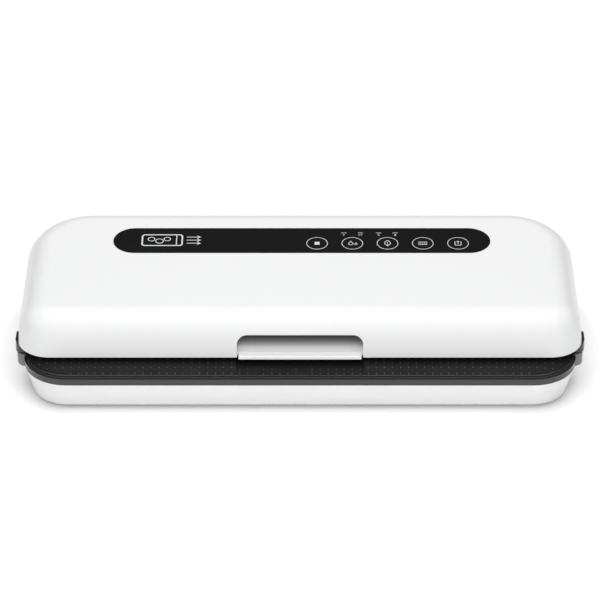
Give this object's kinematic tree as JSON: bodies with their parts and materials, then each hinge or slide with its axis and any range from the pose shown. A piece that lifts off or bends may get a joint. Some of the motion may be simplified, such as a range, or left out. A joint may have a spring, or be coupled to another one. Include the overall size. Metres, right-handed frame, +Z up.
{
  "type": "vacuum sealer",
  "caption": "Low countertop vacuum sealer with a hinged white lid, black touch panel, finger grip, black dotted bag plate and side release buttons.",
  "frame": {"origin": "on the table under the middle of the machine's box", "axes": "+Z up, front faces -Y, +X to the viewer's right along the length"},
  "size_m": [0.3688, 0.1564, 0.0672],
  "materials": {
    "white_gloss": "gloss, faintly waved moulding",
    "black_satin": "satin with fine spark texture",
    "black_gloss": "high gloss panel",
    "button_grey": "satin",
    "inner_black": "moulded matte",
    "rubber_black": "matte rubber",
    "foam_grey": "closed-cell foam",
    "silicone": "smooth silicone",
    "phenolic": "heat-proof moulding",
    "ptfe": "coated glass cloth",
    "steel": "plated",
    "brass": "plain",
    "board_green": "solder mask over glass laminate",
    "component_black": "moulded components",
    "clear_window": "clear light guide",
    "hose_clear": "translucent silicone hose",
    "wire_red": "insulated wire"
  },
  "bodies": {
    "base": {"base_shell": "white_gloss", "base_frame": "black_satin", "bag_deck": "black_satin", "vacuum_tray": "inner_black", "lower_gasket": "foam_grey", "pressure_strip": "silicone", "rubber_feet": "rubber_black", "base_screws": "steel", "hinge_pins": "steel", "latch_pins": "steel", "latch_springs": "steel"},
    "lid": {"lid_cover": "white_gloss", "grip_insert": "white_gloss", "lid_liner": "inner_black", "lid_catches": "inner_black", "control_panel": "black_gloss", "light_windows": "clear_window", "control_board": "board_green", "tact_switches": "component_black", "status_lights": "clear_window", "upper_gasket": "foam_grey", "heater_bar": "phenolic", "heating_strip": "steel", "ptfe_tape": "ptfe", "heater_terminals": "brass", "thermal_cutout": "component_black", "pump_motor": "steel", "pump_crankcase": "component_black", "pump_head": "component_black", "pump_mounts": "rubber_black", "suction_nozzle": "component_black", "suction_hose": "hose_clear", "valve_body": "component_black", "valve_spring": "steel", "pressure_sensor": "component_black", "power_board": "board_green", "board_screws": "steel", "transformer": "component_black", "board_parts": "component_black", "motor_leads": "wire_red", "lid_switch": "component_black", "lid_screws": "steel", "cord_gland": "rubber_black"},
    "release_button_right": {"release_button_right": "button_grey"},
    "release_button_left": {"release_button_left": "button_grey"},
    "latch_lever_right": {"latch_lever_right": "inner_black"},
    "latch_lever_left": {"latch_lever_left": "inner_black"},
    "motor_rotor": {"motor_rotor": "steel"},
    "valve_plunger": {"valve_plunger": "steel"},
    "lid_switch_plunger": {"lid_switch_plunger": "button_grey"},
    "key_stop": {"key_stop": "black_gloss"},
    "key_moisture": {"key_moisture": "black_gloss"},
    "key_food": {"key_food": "black_gloss"},
    "key_seal": {"key_seal": "black_gloss"},
    "key_vacuum": {"key_vacuum": "black_gloss"}
  },
  "joints": [
    {"name": "lid_hinge", "type": "hinge", "parent": "base", "child": "lid", "pos_m": [0, 0.07375, 0.0315], "axis": [-1, 0, 0], "range_deg": [0, 65]},
    {"name": "key_stop_press", "type": "slide", "parent": "lid", "child": "key_stop", "axis": [0, 0.0576, -0.9983], "range_m": [0, 0.0005], "stiffness_N_per_m": 800, "springref_m": -0.0005},
    {"name": "key_moisture_press", "type": "slide", "parent": "lid", "child": "key_moisture", "axis": [0, 0.0576, -0.9983], "range_m": [0, 0.0005], "stiffness_N_per_m": 800, "springref_m": -0.0005},
    {"name": "key_food_press", "type": "slide", "parent": "lid", "child": "key_food", "axis": [0, 0.0576, -0.9983], "range_m": [0, 0.0005], "stiffness_N_per_m": 800, "springref_m": -0.0005},
    {"name": "key_seal_press", "type": "slide", "parent": "lid", "child": "key_seal", "axis": [0, 0.0576, -0.9983], "range_m": [0, 0.0005], "stiffness_N_per_m": 800, "springref_m": -0.0005},
    {"name": "key_vacuum_press", "type": "slide", "parent": "lid", "child": "key_vacuum", "axis": [0, 0.0576, -0.9983], "range_m": [0, 0.0005], "stiffness_N_per_m": 800, "springref_m": -0.0005},
    {"name": "release_right_press", "type": "slide", "parent": "base", "child": "release_button_right", "axis": [-1, 0, 0], "range_m": [0, 0.0025], "stiffness_N_per_m": 600, "springref_m": -0.001},
    {"name": "latch_right_swing", "type": "hinge", "parent": "base", "child": "latch_lever_right", "pos_m": [0.166, -0.042, 0.0125], "axis": [0, -1, 0], "range_deg": [0, 15]},
    {"name": "release_left_press", "type": "slide", "parent": "base", "child": "release_button_left", "axis": [1, 0, 0], "range_m": [0, 0.0025], "stiffness_N_per_m": 600, "springref_m": -0.001},
    {"name": "latch_left_swing", "type": "hinge", "parent": "base", "child": "latch_lever_left", "pos_m": [-0.166, -0.042, 0.0125], "axis": [0, 1, 0], "range_deg": [0, 15]},
    {"name": "pump_spin", "type": "hinge", "parent": "lid", "child": "motor_rotor", "pos_m": [-0.0797, 0.04, 0.05], "axis": [1, 0, 0], "continuous": true},
    {"name": "valve_slide", "type": "slide", "parent": "lid", "child": "valve_plunger", "axis": [0, 0, -1], "range_m": [0, 0.002], "stiffness_N_per_m": 250, "springref_m": -0.002, "deforming": ["valve_spring"]},
    {"name": "lid_switch_press", "type": "slide", "parent": "lid", "child": "lid_switch_plunger", "axis": [0, 0, 1], "range_m": [0, 0.001], "stiffness_N_per_m": 250, "springref_m": -0.002}
  ],
  "couplings": [
    {"joint": "latch_right_swing", "follows": "release_right_press", "rad_per_m": 103.32},
    {"joint": "latch_left_swing", "follows": "release_left_press", "rad_per_m": 103.32}
  ]
}
